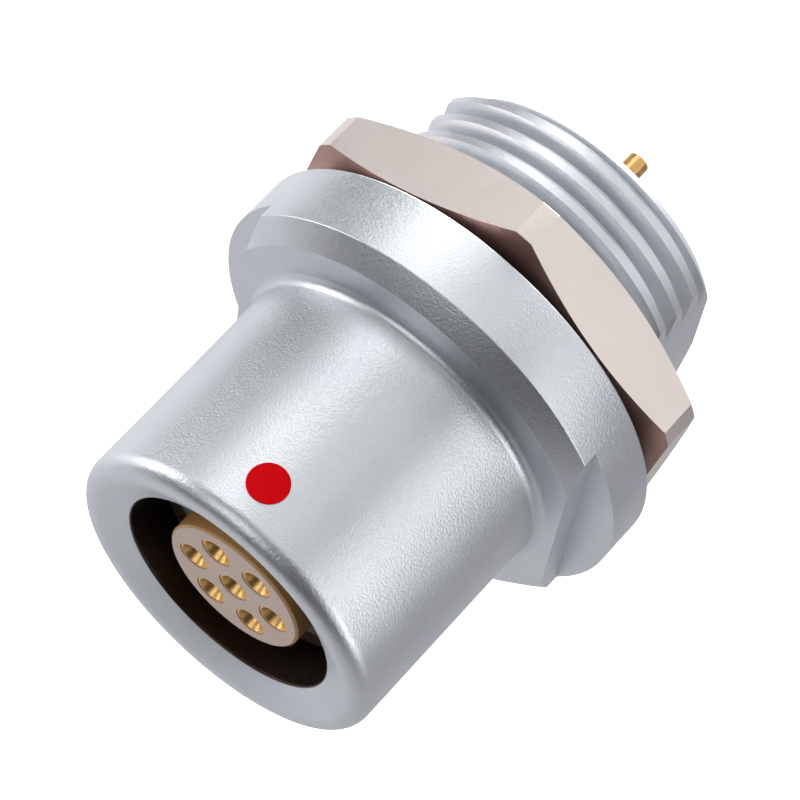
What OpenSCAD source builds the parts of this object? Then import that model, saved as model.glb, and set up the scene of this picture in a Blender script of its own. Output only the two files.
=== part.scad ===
// Push-pull circular connector: the fixed socket that is nutted into a panel.
// One turned shell carries a red key mark, a seven-contact insert, its retaining
// and earthing rings, a panel seal in the flange and a hexagonal lock nut.
// The connector's axis lies along Y: the mouth faces -Y, the solder tails face +Y,
// and the key mark is at +Z. The origin is on the axis, at the flange's rear face,
// which is the face that lies against the panel.

/* [Barrel] */
// Diameter of the front barrel
barrel_d = 13.4; // [13:0.1:13.8]
// Bore that the plug slides into
bore_d = 9.25; // [9.2:0.05:9.3]
// Distance from the flange's rear face to the crest of the nose
nose_reach = 13.44; // [13.3:0.02:13.6]
// Radius of the nose's outer round
nose_r = 0.7; // [0.6:0.05:0.8]
// Angle of the lead-in cone that runs from the crest into the bore
lead_in_angle = 24; // [20:1:26]

/* [Flange] */
// Diameter of the flange
flange_d = 18.4; // [18.2:0.1:19]
// Diameter of the flange's flat front face, inside the chamfer
flange_face_d = 16.7; // [16.4:0.1:17]
// Overall thickness of the flange
flange_t = 3.35; // [3.2:0.05:3.5]
// Length of the full-diameter part behind the chamfer
flange_land = 2.65; // [2.5:0.05:2.8]
// Distance across the two spanner flats
spanner_af = 15.1; // [14.9:0.1:15.4]
// Length of full disc left behind the spanner flats
spanner_back = 2.05; // [1.9:0.05:2.2]

/* [Panel thread] */
// Major diameter of the panel thread
thread_d = 14; // [14:0.1:14.2]
// Thread pitch
thread_pitch = 1; // [1:0.1:1.1]
// Depth of the thread groove
thread_depth = 0.56; // [0.5:0.01:0.6]
// Width of the flat crest
thread_crest = 0.3; // [0.2:0.05:0.35]
// Length of the threaded tube behind the flange
tube_len = 7.62; // [7.4:0.02:7.8]
// Distance across the two flats on the thread
tube_af = 12; // [11.9:0.1:12.2]

/* [Lock nut] */
// Distance across the nut's flats
nut_af = 16.9; // [16.7:0.1:17]
// Diameter that the nut's corners are turned to
nut_corner_d = 19.1; // [18.9:0.05:19.2]
// Thickness of the nut
nut_t = 2.8; // [2.6:0.1:3]
// Gap between the flange and the nut
nut_gap = 0.38; // [0.3:0.02:0.5]

/* [Insert] */
// Diameter of the insert's front tower
tower_d = 6; // [5.9:0.1:6.2]
// Distance from the flange's rear face to the insert's front face
tower_reach = 12.6; // [12.4:0.1:12.7]
// Diameter of the circle that the six outer contacts stand on
contact_pcd = 3.74; // [3.7:0.02:3.8]
// Diameter of the pin that each contact takes
pin_d = 0.5; // [0.5:0.01:0.52]
// How far the six outer solder cups reach behind the flange's rear face
outer_tail = 9.2; // [8.8:0.1:9.4]
// How far the middle solder cup reaches, further out so that an iron can get at it
middle_tail = 11.5; // [11:0.1:12]

/* [Hidden] */
CONTACTS = 7;
$fn = 96;

// Colours
SATIN_CHROME = [0.74, 0.77, 0.80];
NICKEL = [0.80, 0.75, 0.72];
KEY_RED = [0.80, 0, 0.02];
BEIGE = [0.70, 0.60, 0.52];
AMBER = [0.63, 0.45, 0.24];
GOLD = [0.83, 0.64, 0.30];
SEAL_BLACK = [0.10, 0.10, 0.11];

e = 0.01;                                  // overrun of a cutter past the face it cuts
barrel_r = barrel_d / 2;
bore_r = bore_d / 2;
flange_r = flange_d / 2;
fillet_r = 0.4;                            // root of the barrel on the flange
thread_r = thread_d / 2;
thread_root_r = thread_r - thread_depth;
thread_root = 0.12;                        // width of the groove's flat bottom
flank = (thread_pitch - thread_crest - thread_root) / 2;
first_crest = 1.4;                         // front edge of the first crest behind the relief
rim_chamfer = 0.75;
relief_len = 0.85;                         // undercut where the thread runs out at the flange

// Inside the shell
rear_bore_r = 5.35;
shoulder_y = -2.9;                         // the insert's flange stops here
crown_seat_r = 4.9;
crown_front_y = -6;
latch_r = 5.05;                            // groove that the plug's latch arms spring into
latch_y = [-10.9, -9.9];
keyway_w = 1.3;
keyway_r = 5.05;
insert_key_w = 1.2;                        // tab that stops the insert turning
insert_key_l = 0.6;
insert_key_play = 0.1;                     // how much wider its notch is

// Panel seal and its groove
seal_r = 0.42;
seal_ring_r = 8.2;
seal_groove = [7.76, 8.64];                // inner and outer radius

// Key mark
dot_r = 0.8;
dot_y = -11.32;
dot_depth = 0.4;
dot_proud = 0.04;

// Nut
nut_face_r = 8.1;                          // radius at which each face's chamfer starts
nut_chamfer = [21, 23.5];                  // front and rear chamfer angle
nut_clock = 7.4;                           // turn of one corner from the key mark
nut_bore_r = thread_r + 0.05;

// Insert
tower_r = tower_d / 2;
tower_foot_y = -4.6;
tower_foot_r = 4.55;
insert_r = rear_bore_r - 0.05;
split_y = -0.6;                            // where the two insulators meet
rear_insulator_y = 0.8;
ring_y = 2.6;
ring_bore_r = 4.2;
slot_w = 1.2;                              // spanner slots of the retaining ring
slot_depth = 0.7;

// Contacts
contact_r = 0.64;
contact_slack = 0.02;                      // gap between a contact and its hole
contact_recess = 0.04;                     // contact's mouth behind the insert's face
contact_bore_r = pin_d / 2 + 0.02;
contact_bore_depth = 5;
lead_in_r = 0.56;
lead_in_depth = 0.55;
collar_r = 0.85;
collar_len = 0.7;
tail_r = 0.46;
cup_r = 0.33;
cup_depth = 2;
cup_window = 1.5;                          // length of the side that is cut open for solder
clip_y = [-10.9, -9.1];
clip_root_r = 0.54;
clip_gap = 0.3;
clip_window = [-10.3, -9.7];
clip_leaf_w = 0.3;
clip_leaf_play = 0.05;                     // gap each side of the leaf in the contact's window
first_outer_clock = -30;                   // turn of contact 1 from the key mark

// Local Z becomes the connector's axis, and local -Y becomes up
module along_axis() { rotate([-90, 0, 0]) children(); }

// Turns a child that sits on the key side by an angle, clockwise seen from the mouth
module at_clock(a) { rotate([0, 0, a]) children(); }

// A cylinder between two places on the axis
module rod(r, from, to) { translate([0, 0, from]) cylinder(r = r, h = to - from); }

// A ring between two places on the axis
module ring(r_in, r_out, from, to) {
    difference() {
        rod(r_out, from, to);
        rod(r_in, from - e, to + e);
    }
}

// Cuts a body of revolution down to two flats that face +X and -X
module flats_cutter(af, r, from, to) {
    for (side = [-1, 1])
        translate([side * (af / 2 + r / 2), 0, (from + to) / 2])
            cube([r, 3 * r, to - from], center = true);
}

// ---- shell ----

// Section of the barrel and flange, as radius against place on the axis
module barrel_section() {
    // the lead-in cone leaves the nose's round at crest and meets the bore at mouth_y
    round_at = [barrel_r - nose_r, nose_r - nose_reach];
    crest = round_at - nose_r * [sin(lead_in_angle), cos(lead_in_angle)];
    mouth_y = crest[1] + (crest[0] - bore_r) * tan(lead_in_angle);
    translate(round_at) circle(r = nose_r);
    polygon([[bore_r, 0], [bore_r, mouth_y], crest, round_at, [barrel_r, round_at[1]],
             [barrel_r, 0]]);
    polygon([[bore_r, -flange_t], [flange_face_d / 2, -flange_t], [flange_r, -flange_land],
             [flange_r, 0], [bore_r, 0]]);
    difference() {
        translate([barrel_r - e, -flange_t - fillet_r]) square([fillet_r + e, fillet_r + e]);
        translate([barrel_r + fillet_r, -flange_t - fillet_r]) circle(r = fillet_r);
    }
}

// Section of the tube's blank: relief, thread blank and rear chamfer
module tube_section() {
    polygon([[bore_r, -e], [thread_root_r, -e], [thread_root_r, relief_len],
             [thread_r, relief_len + thread_depth], [thread_r, tube_len - rim_chamfer],
             [thread_r - rim_chamfer, tube_len], [bore_r, tube_len]]);
}

// One thread groove behind the crest whose front edge is at y
module thread_groove(y) {
    back = y + thread_crest;
    polygon([[thread_r + e, back], [thread_r + e, y + thread_pitch],
             [thread_root_r, y + thread_pitch - flank], [thread_root_r, back + flank]]);
}

module shell_bore() {
    rod(rear_bore_r, shoulder_y, tube_len + e);
    rod(crown_seat_r, crown_front_y, shoulder_y + e);
    rotate_extrude() polygon([
        [bore_r - e, latch_y[0]], [latch_r, latch_y[0]], [latch_r, latch_y[1] - (latch_r - bore_r)],
        [bore_r - e, latch_y[1] + e]]);
    // keyway under the key mark
    translate([-keyway_w / 2, -keyway_r, -nose_reach - e])
        cube([keyway_w, keyway_r - bore_r / 2, crown_front_y + nose_reach + e]);
    // notch for the insert's tab, opposite the key mark
    notch_w = insert_key_w + insert_key_play;
    translate([-notch_w / 2, 0, shoulder_y - insert_key_l])
        cube([notch_w, insert_r, insert_key_l + e]);
}

module shell() color(SATIN_CHROME) along_axis() difference() {
    rotate_extrude() difference() {
        union() {
            barrel_section();
            tube_section();
        }
        for (y = [first_crest : thread_pitch : tube_len - thread_pitch]) thread_groove(y);
        translate([seal_groove[0], -2 * seal_r])
            square([seal_groove[1] - seal_groove[0], 2 * seal_r + e]);
    }
    shell_bore();
    flats_cutter(spanner_af, flange_r, -flange_t - e, -spanner_back);
    flats_cutter(tube_af, thread_r, relief_len / 2, tube_len + e);
    translate([0, 0, dot_y]) rotate([90, 0, 0]) rod(dot_r, barrel_r - dot_depth, barrel_r + dot_depth);
}

// ---- key mark, seal and nut ----

module alignment_dot() color(KEY_RED) along_axis() intersection() {
    translate([0, 0, dot_y]) rotate([90, 0, 0]) rod(dot_r, barrel_r - dot_depth, barrel_r + dot_depth);
    rod(barrel_r + dot_proud, dot_y - 2 * dot_r, dot_y + 2 * dot_r);
}

module panel_seal() color(SEAL_BLACK) along_axis()
    translate([0, 0, -seal_r]) rotate_extrude() translate([seal_ring_r, 0]) circle(r = seal_r);

// Blank that turns the hexagon's corners and chamfers both of its faces
module nut_turned() {
    corner_r = nut_corner_d / 2;
    drop = [for (a = nut_chamfer) (corner_r - nut_face_r) * tan(a)];
    front = nut_gap;
    rear = nut_gap + nut_t;
    rotate_extrude() polygon([
        [0, front], [nut_face_r, front], [corner_r, front + drop[0]],
        [corner_r, rear - drop[1]], [nut_face_r, rear], [0, rear]]);
}

module lock_nut() color(NICKEL) along_axis() difference() {
    bevel = 0.35;
    intersection() {
        nut_turned();
        // a corner of the six-sided prism lies at the clock angle
        at_clock(nut_clock - 90) translate([0, 0, nut_gap])
            cylinder(r = nut_af / 2 / cos(30), h = nut_t, $fn = 6);
    }
    rod(nut_bore_r, 0, nut_gap + nut_t + e);
    for (side = [0, 1])
        translate([0, 0, side == 0 ? nut_gap - e : nut_gap + nut_t + e]) mirror([0, 0, side])
            cylinder(r1 = nut_bore_r + bevel, r2 = nut_bore_r, h = bevel);
}

// ---- insert and the rings that hold it ----

// Places a child on each contact's own axis: 1 to 6 on the circle, 7 in the middle
module at_contact(i) {
    if (i == CONTACTS) children();
    else at_clock(first_outer_clock + 60 * (i - 1)) translate([0, -contact_pcd / 2, 0]) children();
}

module front_insulator() color(BEIGE) along_axis() difference() {
    union() {
        bevel = 0.1;
        rotate_extrude() polygon([
            [0, -tower_reach], [tower_r - bevel, -tower_reach], [tower_r, bevel - tower_reach],
            [tower_r, tower_foot_y], [tower_foot_r, tower_foot_y], [tower_foot_r, shoulder_y],
            [insert_r, shoulder_y], [insert_r, split_y], [0, split_y]]);
        translate([-insert_key_w / 2, 0, shoulder_y - insert_key_l + insert_key_play / 2])
            cube([insert_key_w, insert_r - insert_key_play, insert_key_l]);
    }
    for (i = [1:CONTACTS]) at_contact(i) {
        rod(contact_r + contact_slack, -tower_reach - e, split_y + e);
        rod(collar_r + contact_slack, split_y - collar_len, split_y + e);
    }
}

module rear_insulator() color(AMBER) along_axis() difference() {
    rod(insert_r, split_y, rear_insulator_y);
    for (i = [1:CONTACTS]) at_contact(i)
        rod(tail_r + contact_slack, split_y - e, rear_insulator_y + e);
}

module retaining_ring() color(NICKEL) along_axis() difference() {
    ring(ring_bore_r, insert_r, rear_insulator_y, ring_y);
    translate([-slot_w / 2, -2 * insert_r, ring_y - slot_depth])
        cube([slot_w, 4 * insert_r, slot_depth + e]);
}

module earthing_crown() color(NICKEL) along_axis() {
    wall = 0.16;
    fingers = 8;
    finger_gap = 0.5;
    finger_root_y = -4;
    bead_r = 0.16;
    end_play = 0.05;
    side_play = 0.02;
    key_gap = 1.4;                         // room for the insert's tab
    front = crown_front_y + end_play;
    outer = crown_seat_r - side_play;
    difference() {
        rotate_extrude() {
            translate([outer - wall, front]) square([wall, shoulder_y - front]);
            // bead that touches the plug's shell
            intersection() {
                translate([outer - wall, front + 2 * bead_r]) circle(r = bead_r);
                translate([0, front]) square([outer - wall / 2, 4 * bead_r]);
            }
        }
        for (i = [0 : fingers - 1]) at_clock(360 / fingers * (i + 0.5))
            translate([-finger_gap / 2, -2 * outer, front - e])
                cube([finger_gap, 2 * outer, finger_root_y - front + e]);
        translate([-key_gap / 2, 0, shoulder_y - insert_key_l - end_play])
            cube([key_gap, 2 * outer, insert_key_l + end_play + e]);
    }
}

// ---- contacts ----

// One gold contact: closed-entry socket in front, collar in the insert, solder cup behind
module contact(i) color(GOLD) along_axis() at_contact(i) difference() {
    front = contact_recess - tower_reach;
    tail_end = i == CONTACTS ? middle_tail : outer_tail;
    union() {
        rod(contact_r, front, split_y);
        rod(collar_r, split_y - collar_len, split_y);
        rod(tail_r, split_y - e, tail_end);
    }
    rod(contact_bore_r, front - e, front + contact_bore_depth);
    translate([0, 0, front - e]) cylinder(r1 = lead_in_r, r2 = contact_bore_r, h = lead_in_depth);
    ring(clip_root_r, contact_r + e, clip_y[0], clip_y[1]);
    window_w = clip_leaf_w + 2 * clip_leaf_play;
    translate([-window_w / 2, -contact_r, clip_window[0]])
        cube([window_w, contact_r, clip_window[1] - clip_window[0]]);
    // solder cup, cut open on the side away from the key mark
    rod(cup_r, tail_end - cup_depth, tail_end + e);
    translate([-tail_r, cup_r / 3, tail_end - cup_window]) cube([2 * tail_r, tail_r, cup_window + e]);
}

// Open spring band in the contact's groove, with a leaf that presses on the pin
module contact_clip(i) color(NICKEL) along_axis() at_contact(i) {
    play = 0.04;
    pin_play = 0.005;
    outer = contact_r - contact_slack / 2;
    difference() {
        ring(clip_root_r, outer, clip_y[0] + play, clip_y[1] - play);
        translate([-clip_gap / 2, 0, clip_y[0] - e])
            cube([clip_gap, contact_r, clip_y[1] - clip_y[0] + 2 * e]);
    }
    leaf_root = (clip_root_r + outer) / 2;
    leaf_tip = pin_d / 2 + pin_play;
    translate([-clip_leaf_w / 2, -leaf_root, clip_window[0] + play])
        cube([clip_leaf_w, leaf_root - leaf_tip, clip_window[1] - clip_window[0] - 2 * play]);
}

shell();
lock_nut();
panel_seal();
alignment_dot();
earthing_crown();
front_insulator();
rear_insulator();
retaining_ring();
for (i = [1:CONTACTS]) {
    contact(i);
    contact_clip(i);
}
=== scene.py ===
"""Looks of the push-pull connector socket: finer meshes for the turned and milled
pieces, procedural materials, studio light and the camera."""
import math

import bmesh
import bpy
from mathutils import Matrix, Vector


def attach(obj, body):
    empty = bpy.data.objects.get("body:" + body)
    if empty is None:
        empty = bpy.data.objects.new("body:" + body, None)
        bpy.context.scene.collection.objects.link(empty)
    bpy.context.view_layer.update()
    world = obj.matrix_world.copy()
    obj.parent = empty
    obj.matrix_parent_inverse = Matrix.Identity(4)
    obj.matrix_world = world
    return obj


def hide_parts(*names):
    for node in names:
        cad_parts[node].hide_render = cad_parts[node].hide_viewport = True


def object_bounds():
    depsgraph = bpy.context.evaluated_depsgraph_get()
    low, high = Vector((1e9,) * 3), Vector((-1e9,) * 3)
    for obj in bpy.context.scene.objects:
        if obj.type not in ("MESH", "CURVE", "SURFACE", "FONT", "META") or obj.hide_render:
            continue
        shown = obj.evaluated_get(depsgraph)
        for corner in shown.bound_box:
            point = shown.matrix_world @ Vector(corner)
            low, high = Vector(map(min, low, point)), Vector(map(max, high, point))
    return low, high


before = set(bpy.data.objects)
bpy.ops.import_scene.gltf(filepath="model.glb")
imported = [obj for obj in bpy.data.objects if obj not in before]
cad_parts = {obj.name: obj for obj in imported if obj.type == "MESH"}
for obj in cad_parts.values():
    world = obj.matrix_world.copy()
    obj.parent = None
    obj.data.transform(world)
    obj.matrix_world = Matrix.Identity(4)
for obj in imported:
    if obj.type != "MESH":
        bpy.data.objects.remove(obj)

cad_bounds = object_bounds()
MM = 0.001

# ---------------------------------------------------------------- sizes, in mm
# The axis runs along Y with the mouth at -Y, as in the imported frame.
BARREL_R = 6.7
BORE_R = 4.625
MOUTH_EDGE = 0.12                # round where the lead-in cone meets the bore
NOSE_Y = -13.44
NOSE_R = 0.7
LEAD_IN = math.radians(24)       # cone from the nose's crest into the bore
FILLET_R = 0.4
FLANGE_R = 9.2
FLANGE_FACE_R = 8.35
FLANGE_FRONT_Y = -3.35
FLANGE_LAND_Y = -2.65
SPANNER_HALF = 7.55
SPANNER_BACK_Y = -2.05
THREAD_R = 7.0
THREAD_ROOT_R = 6.44
PITCH = 1.0
CREST = 0.3
ROOT = 0.12
FLANK = (PITCH - CREST - ROOT) / 2
FIRST_CREST_Y = 4.408
THREAD_LEAD = -PITCH             # negative: crests come nearer the mouth from +Z round to +X
RELIEF_END_Y = 0.85
TUBE_END_Y = 7.62
TUBE_HALF = 6.0
RIM_CHAMFER = 0.75
REAR_BORE_R = 5.35
SHOULDER_Y = -2.9
CROWN_SEAT_R = 4.9
CROWN_FRONT_Y = -6.0
LATCH_R = 5.05
LATCH_Y = (-10.9, -9.9)
KEYWAY_W = 1.3
KEYWAY_R = 5.05
SEAL_GROOVE = (7.76, 8.64, 0.84)  # inner and outer radius, depth

CONTACTS = 7
TOWER_FACE_R = 2.93              # the insert's pale front face; its sides are amber

NUT_HALF = 8.45
NUT_CORNER_R = 9.55
NUT_Y = (0.38, 3.18)
NUT_BEVEL = 0.35
NUT_SHARP_DEG = 14.0             # flatter than the angle between a side and a turned corner
NUT_FACE_R = 8.1
NUT_CHAMFER_DEG = (21.0, 23.5)
NUT_CLOCK_DEG = 7.4
NUT_BORE_R = 7.05

EDGE = 0.05                      # round on a broken edge
CUT_PAST = 1.0                   # how far a cutter runs past what it cuts
COLUMNS = 288                    # columns round a turned piece
WELD_M = 1e-7                    # vertices nearer than this are one
FOLD_WELD_M = 2e-7               # the same where rows are folded onto the cutter's ends


# ---------------------------------------------------------------- mesh helpers
def on_axis(radius, y, angle):
    """A point at an angle from +Z towards +X, in metres."""
    return (radius * MM * math.sin(angle), y * MM, radius * MM * math.cos(angle))


def rounded(corners, step_deg=9.0):
    """A closed outline of (radius, y) points from (radius, y, fillet) corners."""
    outline = []
    count = len(corners)
    for i, (x, y, fillet) in enumerate(corners):
        here = Vector((x, y))
        if not fillet:
            outline.append((x, y))
            continue
        before = (Vector(corners[i - 1][:2]) - here).normalized()
        after = (Vector(corners[(i + 1) % count][:2]) - here).normalized()
        half = before.angle(after) / 2
        centre = here + (before + after).normalized() * (fillet / math.sin(half))
        start = here + before * (fillet / math.tan(half)) - centre
        sweep = math.pi - 2 * half
        turn = math.copysign(1.0, start.x * (here - centre).y - start.y * (here - centre).x)
        steps = max(2, math.ceil(math.degrees(sweep) / step_deg))
        for k in range(steps + 1):
            a = turn * sweep * k / steps
            outline.append((centre.x + start.x * math.cos(a) - start.y * math.sin(a),
                            centre.y + start.x * math.sin(a) + start.y * math.cos(a)))
    return outline


def as_object(bm, name):
    """An object in the scene from a bmesh, which is used up."""
    bmesh.ops.remove_doubles(bm, verts=bm.verts, dist=WELD_M)
    bmesh.ops.recalc_face_normals(bm, faces=bm.faces)
    mesh = bpy.data.meshes.new(name)
    bm.to_mesh(mesh)
    bm.free()
    obj = bpy.data.objects.new(name, mesh)
    bpy.context.scene.collection.objects.link(obj)
    return obj


def bridge(bm, rings):
    """Quads between neighbouring closed loops of vertices, from the first to the last."""
    for here, after in zip(rings, rings[1:]):
        for k in range(len(here)):
            n = (k + 1) % len(here)
            bm.faces.new((here[k], here[n], after[n], after[k]))


def turned(name, outline):
    """A closed outline of (radius, y) points turned about the axis."""
    bm = bmesh.new()
    rings = []
    for c in range(COLUMNS):
        angle = 2 * math.pi * c / COLUMNS
        rings.append([bm.verts.new(on_axis(r, y, angle)) for r, y in outline])
    bridge(bm, rings + rings[:1])
    return as_object(bm, name)


def block(name, low, high):
    """A box between two corners, in mm, for cutting."""
    bm = bmesh.new()
    bmesh.ops.create_cube(bm, size=1.0)
    size = [(b - a) * MM for a, b in zip(low, high)]
    middle = [(a + b) / 2 * MM for a, b in zip(low, high)]
    bmesh.ops.scale(bm, vec=size, verts=bm.verts)
    bmesh.ops.translate(bm, vec=middle, verts=bm.verts)
    return as_object(bm, name)


def applied(obj):
    """Replaces an object's mesh by what its modifiers make of it."""
    graph = bpy.context.evaluated_depsgraph_get()
    mesh = bpy.data.meshes.new_from_object(obj.evaluated_get(graph))
    obj.modifiers.clear()
    old = obj.data
    obj.data = mesh
    bpy.data.meshes.remove(old)


def combine(target, tool, operation):
    """Boolean of two closed meshes; the tool is used up."""
    mod = target.modifiers.new("cut", "BOOLEAN")
    mod.operation = operation
    mod.solver = "MANIFOLD"
    mod.object = tool
    applied(target)
    bpy.data.objects.remove(tool)


def smooth_by_angle(obj, degrees=28.0):
    obj.data.polygons.foreach_set("use_smooth", [True] * len(obj.data.polygons))
    obj.data.set_sharp_from_angle(angle=math.radians(degrees))


# ---------------------------------------------------------------- shell
def cone_y(r):
    """Where the lead-in cone, carried on as far as need be, meets a radius."""
    centre_r, centre_y = BARREL_R - NOSE_R, NOSE_Y + NOSE_R
    return centre_y - NOSE_R / math.cos(LEAD_IN) + (centre_r - r) * math.tan(LEAD_IN)


def shell_blank():
    """The shell before its thread, flats and keyway are cut."""
    groove_in, groove_out, groove_depth = SEAL_GROOVE
    corners = [
        (REAR_BORE_R, TUBE_END_Y, 0.08), (REAR_BORE_R, SHOULDER_Y, 0),
        (CROWN_SEAT_R, SHOULDER_Y, 0), (CROWN_SEAT_R, CROWN_FRONT_Y, 0),
        (BORE_R, CROWN_FRONT_Y, EDGE), (BORE_R, LATCH_Y[1], EDGE),
        (LATCH_R, LATCH_Y[1] - (LATCH_R - BORE_R), 0), (LATCH_R, LATCH_Y[0], 0),
        (BORE_R, LATCH_Y[0], EDGE), (BORE_R, cone_y(BORE_R), MOUTH_EDGE),
        (BARREL_R, cone_y(BARREL_R), NOSE_R), (BARREL_R, FLANGE_FRONT_Y, FILLET_R),
        (FLANGE_FACE_R, FLANGE_FRONT_Y, 0.07), (FLANGE_R, FLANGE_LAND_Y, 0.07),
        (FLANGE_R, 0, 0.06), (groove_out, 0, 0), (groove_out, -groove_depth, 0),
        (groove_in, -groove_depth, 0), (groove_in, 0, 0), (THREAD_ROOT_R, 0, 0),
        (THREAD_ROOT_R, RELIEF_END_Y, 0), (THREAD_R, RELIEF_END_Y + THREAD_R - THREAD_ROOT_R, 0),
        (THREAD_R, TUBE_END_Y - RIM_CHAMFER, 0), (THREAD_R - RIM_CHAMFER, TUBE_END_Y, EDGE),
    ]
    return turned("shell_body", rounded(corners))


def thread_radius(along):
    """Radius of the thread at a place along one pitch, from a crest's front edge."""
    depth = THREAD_R - THREAD_ROOT_R
    place = along % PITCH
    if place <= CREST:
        return THREAD_R
    if place < CREST + FLANK:
        return THREAD_R - depth * (place - CREST) / FLANK
    if place <= CREST + FLANK + ROOT:
        return THREAD_ROOT_R
    return THREAD_ROOT_R + depth * (place - CREST - FLANK - ROOT) / FLANK


def thread_cutter():
    """The air round the thread: a sleeve whose inner wall is the helical groove."""
    crest_clear = 0.02            # the sleeve stands clear of the crests, so only grooves are cut
    spare = 2                     # pitches past each end, so that the ends stay filled all round
    edges = (0.0, CREST, CREST + FLANK, CREST + FLANK + ROOT)
    low, high, outer = RELIEF_END_Y - 0.3, TUBE_END_Y + 0.5, THREAD_R + 1.5
    first = math.floor((low - FIRST_CREST_Y) / PITCH) - spare
    last = math.ceil((high - FIRST_CREST_Y) / PITCH) + spare
    bm = bmesh.new()
    rings = []
    for c in range(COLUMNS + 1):
        turn = c / COLUMNS
        shift = FIRST_CREST_Y + THREAD_LEAD * turn
        ring = [(outer, low)]
        for k in range(first, last):
            for edge in edges:
                y = min(max(shift + (k * PITCH + edge), low), high)
                r = thread_radius(round(y - shift, 9))    # rounding keeps an edge on its own side
                ring.append((r + (crest_clear if r >= THREAD_R else 0), y))
        ring.append((outer, high))
        rings.append([bm.verts.new(on_axis(r, y, 2 * math.pi * turn)) for r, y in ring])
    bridge(bm, rings)
    bmesh.ops.remove_doubles(bm, verts=bm.verts, dist=FOLD_WELD_M)
    bmesh.ops.dissolve_degenerate(bm, edges=bm.edges, dist=FOLD_WELD_M)
    return as_object(bm, "thread_air")


def mill_flat(obj, side, half, front, rear):
    """Mills a flat that faces +X or -X, between two places on the axis."""
    beyond = FLANGE_R + CUT_PAST
    near, far = sorted((side * half, side * beyond))
    combine(obj, block("flat", (near, front, -beyond), (far, rear, beyond)), "DIFFERENCE")


def make_shell():
    shell = shell_blank()
    combine(shell, thread_cutter(), "DIFFERENCE")
    for side in (-1, 1):
        mill_flat(shell, side, SPANNER_HALF, FLANGE_FRONT_Y - CUT_PAST, SPANNER_BACK_Y)
        mill_flat(shell, side, TUBE_HALF, RELIEF_END_Y / 2, TUBE_END_Y + CUT_PAST)
    combine(shell, block("keyway", (-KEYWAY_W / 2, NOSE_Y - CUT_PAST, BORE_R / 2),
                         (KEYWAY_W / 2, CROWN_FRONT_Y, KEYWAY_R)), "DIFFERENCE")
    smooth_by_angle(shell)
    return shell


# ---------------------------------------------------------------- lock nut
def make_nut():
    front, rear = NUT_Y
    drops = [(NUT_CORNER_R - NUT_FACE_R) * math.tan(math.radians(a)) for a in NUT_CHAMFER_DEG]
    bevel_r = NUT_BORE_R + NUT_BEVEL
    nut = turned("lock_nut_body", rounded([
        (NUT_BORE_R, front + NUT_BEVEL, 0), (bevel_r, front, 0.03),
        (NUT_FACE_R, front, EDGE), (NUT_CORNER_R, front + drops[0], EDGE),
        (NUT_CORNER_R, rear - drops[1], EDGE), (NUT_FACE_R, rear, EDGE),
        (bevel_r, rear, 0.03), (NUT_BORE_R, rear - NUT_BEVEL, 0)]))
    bm = bmesh.new()
    across_corners = NUT_HALF / math.cos(math.pi / 6)
    rings = [[bm.verts.new(on_axis(across_corners, y, math.radians(NUT_CLOCK_DEG + 60 * k)))
              for k in range(6)] for y in (front - CUT_PAST, rear + CUT_PAST)]
    bridge(bm, rings)
    for ring in rings:
        bm.faces.new(ring)
    combine(nut, as_object(bm, "hexagon"), "INTERSECT")
    smooth_by_angle(nut, NUT_SHARP_DEG)
    return nut


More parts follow.
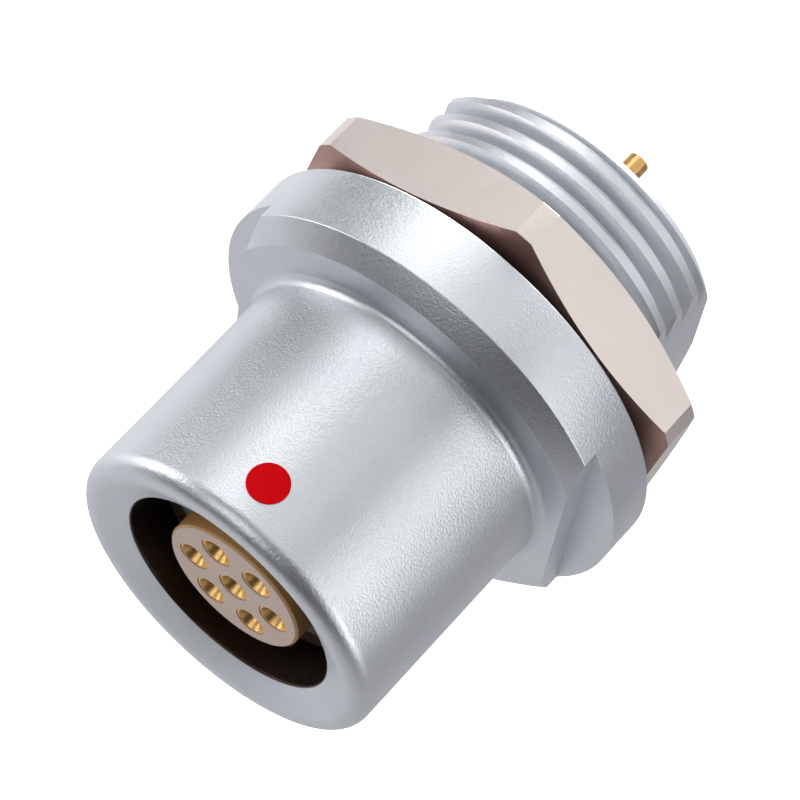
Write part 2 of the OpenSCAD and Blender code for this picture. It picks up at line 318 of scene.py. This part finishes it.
# ---------------------------------------------------------------- materials
class Finish:
    """A material being built: one shader, and object coordinates in mm as at."""

    def __init__(self, name):
        self.material = bpy.data.materials.new(name)
        self.material.use_nodes = True
        self.nodes = self.material.node_tree.nodes
        self.links = self.material.node_tree.links
        self.nodes.clear()
        self.shader = self.node("BsdfPrincipled")
        self.node("OutputMaterial", {"Surface": self.shader.outputs[0]})
        self.at = self.node("VectorMath", {0: self.node("TexCoord").outputs["Object"],
                                           "Scale": 1 / MM}, operation="SCALE").outputs[0]

    def put(self, socket, value):
        """Gives a socket a link, a colour or a plain value."""
        if isinstance(value, bpy.types.NodeSocket):
            self.links.new(value, socket)
        elif socket.type == "RGBA":
            socket.default_value = (*value, 1)
        else:
            socket.default_value = value

    def node(self, kind, inputs=(), **settings):
        node = self.nodes.new("ShaderNode" + kind)
        for key, value in settings.items():
            setattr(node, key, value)
        for key, value in dict(inputs).items():
            self.put(node.inputs[key], value)
        return node

    def shade(self, **values):
        """Sets the shader's own sockets: base_color sets Base Color."""
        for key, value in values.items():
            self.put(self.shader.inputs[key.replace("_", " ").title().replace("Ior", "IOR")], value)

    def noise(self, scale, detail=3.0, roughness=0.55):
        return self.node("TexNoise", {"Vector": self.at, "Scale": scale, "Detail": detail,
                                      "Roughness": roughness}).outputs["Fac"]

    def ranged(self, value, low, high, start=0.3, end=0.7):
        """Low where the value is at start, high where it is at end."""
        return self.node("MapRange", {"Value": value, "From Min": start, "From Max": end,
                                      "To Min": low, "To Max": high}).outputs["Result"]

    def mixed(self, factor, first, second):
        return self.node("Mix", {"Factor": factor, "A": first, "B": second},
                         data_type="RGBA").outputs["Result"]

    def bump(self, value, strength, depth_mm):
        self.shade(normal=self.node("Bump", {"Height": value, "Strength": strength,
                                             "Distance": depth_mm * MM}).outputs["Normal"])

    def towards(self, vector, direction):
        return self.node("VectorMath", {0: vector, 1: direction},
                         operation="DOT_PRODUCT").outputs["Value"]

    def refinish(self, factor, colour):
        """Mixes another colour into the base colour by a factor."""
        base = self.shader.inputs["Base Color"].links[0].from_socket
        self.shade(base_color=self.mixed(factor, base, colour))

    def nearer_than(self, radius):
        """1 nearer the axis than a radius in mm, 0 beyond it."""
        blur = 0.02
        flat = self.node("VectorMath", {0: self.at, 1: (1, 0, 1)}, operation="MULTIPLY")
        out = self.node("VectorMath", {0: flat.outputs[0]}, operation="LENGTH")
        return self.ranged(out.outputs["Value"], 1.0, 0.0, radius - blur, radius + blur)

    def facing_mouth(self):
        """1 on faces that look towards the mouth, 0 on the rest."""
        normal = self.node("NewGeometry").outputs["True Normal"]
        return self.ranged(self.towards(normal, (0, -1, 0)), 0.0, 1.0, 0.4, 0.6)


def grained_metal(name, dark, light, grain_scale, grain_depth, smooth, rough):
    """Plated metal: a cloudy tint, and a grain that both roughens and dents it."""
    finish = Finish(name)
    grain = finish.noise(grain_scale, 2.0, 0.5)
    finish.shade(base_color=finish.mixed(finish.noise(0.35, 2.0), dark, light),
                 roughness=finish.ranged(grain, smooth, rough), metallic=1.0)
    finish.bump(grain, 0.6, grain_depth)
    return finish


def plastic(name, dark, light, rough=0.5, shine=0.5):
    finish = Finish(name)
    grain = finish.noise(9.0, 2.0)
    finish.shade(base_color=finish.mixed(finish.noise(1.2), dark, light),
                 roughness=finish.ranged(grain, rough - 0.07, rough + 0.07),
                 specular_ior_level=shine)
    finish.bump(grain, 0.3, 0.02)
    return finish


SATIN = grained_metal("satin_chrome", (0.62, 0.64, 0.68), (0.70, 0.72, 0.75), 11.0, 0.022,
                      0.36, 0.46)
# Painted shade: the shell nearer the axis than just past the bore wall is coloured near-black
# brown, standing in for the shade inside the mouth.
SATIN.refinish(SATIN.nearer_than(BORE_R + 0.06), (0.06, 0.042, 0.034))
NICKEL = grained_metal("brushed_nickel", (0.71, 0.64, 0.61), (0.77, 0.70, 0.67), 10.0, 0.004,
                       0.40, 0.46)
# Painted shade: faces that look towards the mouth (the nut's front face and chamfer, tucked behind
# the flange) get a darker red-brown that stands in for their shade.
NICKEL.refinish(NICKEL.facing_mouth(), (0.46, 0.29, 0.25))
SPRING = grained_metal("plated_spring", (0.60, 0.58, 0.54), (0.70, 0.68, 0.64), 8.0, 0.004,
                       0.25, 0.35)
GOLD = grained_metal("gold_plate", (0.72, 0.42, 0.14), (0.84, 0.55, 0.23), 8.0, 0.006,
                     0.30, 0.42)
INSERT = plastic("insert_plastic", (0.72, 0.36, 0.12), (0.80, 0.44, 0.17))
INSERT.refinish(INSERT.nearer_than(TOWER_FACE_R), (0.80, 0.62, 0.52))
ENAMEL = plastic("red_enamel", (0.60, 0.0, 0.002), (0.66, 0.0, 0.004), 0.7, 0.05)
RUBBER = plastic("seal_rubber", (0.012, 0.012, 0.013), (0.02, 0.02, 0.022), 0.6)


def dress(obj, finish):
    obj.data.materials.clear()
    obj.data.materials.append(finish.material)


def redress(node, finish):
    """A new finish for a CAD node that keeps its own mesh."""
    for s in bpy.data.objects[node].material_slots:
        s.material = finish.material


shell = make_shell()
dress(shell, SATIN)
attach(shell, "socket")
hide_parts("shell")

nut = make_nut()
dress(nut, NICKEL)
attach(nut, "nut")
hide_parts("lock_nut")

redress("alignment_dot", ENAMEL)
redress("panel_seal", RUBBER)
redress("front_insulator", INSERT)
redress("rear_insulator", INSERT)
redress("retaining_ring", SPRING)
redress("earthing_crown", SPRING)
for i in range(1, CONTACTS + 1):
    redress(f"contact_{i}", GOLD)
    redress(f"contact_clip_{i}", SPRING)


# ---------------------------------------------------------------- camera
VIEW_AZIMUTH = 28.66
VIEW_ELEVATION = 62.47
VIEW_ROLL = 12.02
VIEW_DISTANCE = 152.93
VIEW_SHIFT = (1.922, 1.554)      # the axis origin's place right of and above the picture's middle
LENS_MM = 184.2


def look():
    a, e, roll = (math.radians(v) for v in (VIEW_AZIMUTH, VIEW_ELEVATION, VIEW_ROLL))
    back = Vector((math.sin(a) * math.cos(e), -math.cos(a) * math.cos(e), math.sin(e)))
    level = Vector((math.cos(a), math.sin(a), 0))
    up = back.cross(level)
    right = level * math.cos(roll) + up * math.sin(roll)
    up = up * math.cos(roll) - level * math.sin(roll)
    return right, up, back


right, up, back = look()
camera = bpy.data.objects.new("camera", bpy.data.cameras.new("camera"))
bpy.context.scene.collection.objects.link(camera)
camera.data.lens = LENS_MM
camera.data.sensor_width = 36.0
camera.data.clip_start = 0.01
place = (back * VIEW_DISTANCE - right * VIEW_SHIFT[0] - up * VIEW_SHIFT[1]) * MM
camera.matrix_world = Matrix.Translation(place) @ Matrix((right, up, back)).transposed().to_4x4()
bpy.context.scene.camera = camera

# ---------------------------------------------------------------- floor and light
FLOOR_DROP_MM = 60.0
FLOOR_HALF_M = 2.0
FLOOR_GLOW = 0.8                 # what the camera sees of the floor's own white
FLOOR_SEEN = (0.85, 0.85, 0.86)
FLOOR_DIM = (0.22, 0.22, 0.23)   # the floor as the metal mirrors it, darker on the side away
FLOOR_BRIGHT = (0.80, 0.80, 0.82)  # from the mouth
FLOOR_FADE_MM = 120.0


def floor_finish():
    finish = Finish("floor")
    camera_ray = finish.node("LightPath").outputs["Is Camera Ray"]
    mouthward = finish.towards(finish.at, (-math.sqrt(0.5), -math.sqrt(0.5), 0))
    mirrored = finish.mixed(finish.ranged(mouthward, 0, 1, -FLOOR_FADE_MM, FLOOR_FADE_MM),
                            FLOOR_DIM, FLOOR_BRIGHT)
    glow = finish.node("Math", {0: camera_ray, 1: FLOOR_GLOW}, operation="MULTIPLY")
    finish.shade(base_color=finish.mixed(camera_ray, mirrored, FLOOR_SEEN), roughness=0.9,
                 specular_ior_level=0.0, emission_color=(1, 1, 1),
                 emission_strength=glow.outputs[0])
    return finish


bm = bmesh.new()
bmesh.ops.create_grid(bm, x_segments=1, y_segments=1, size=FLOOR_HALF_M)
floor = as_object(bm, "floor")
floor.location.z = cad_bounds[0][2] - FLOOR_DROP_MM * MM
dress(floor, floor_finish())

BOX_DISTANCE_MM = 400.0
BOX_SIZE_MM = 240.0


def soft_box(name, polar, clock, power):
    """A square light that faces the object. Polar is its angle from the camera's side, and
    clock turns it from the picture's right towards its top."""
    lamp = bpy.data.lights.new(name, "AREA")
    lamp.shape = "SQUARE"
    lamp.size = BOX_SIZE_MM * MM
    lamp.energy = power
    obj = bpy.data.objects.new(name, lamp)
    bpy.context.scene.collection.objects.link(obj)
    p, c = math.radians(polar), math.radians(clock)
    aim = right * math.sin(p) * math.cos(c) + up * math.sin(p) * math.sin(c) + back * math.cos(p)
    obj.location = aim * BOX_DISTANCE_MM * MM
    obj.rotation_euler = aim.to_track_quat("Z", "Y").to_euler()


soft_box("left", 32, 180, 0.32)
soft_box("top_right", 35, 50, 0.20)
soft_box("top", 62, 92, 0.38)
soft_box("right", 58, -8, 0.28)
soft_box("low_right", 74, -40, 0.44)
soft_box("far_right", 85, 36, 0.55)
soft_box("far_left", 85, 144, 0.60)
soft_box("behind_top", 112, 68, 3.5)
world = bpy.data.worlds.new("studio")
bpy.context.scene.world = world
world.use_nodes = True
world.node_tree.nodes["Background"].inputs["Color"].default_value = (0.92, 0.95, 1.0, 1)
world.node_tree.nodes["Background"].inputs["Strength"].default_value = 0.06

bpy.context.scene.view_settings.view_transform = "Standard"
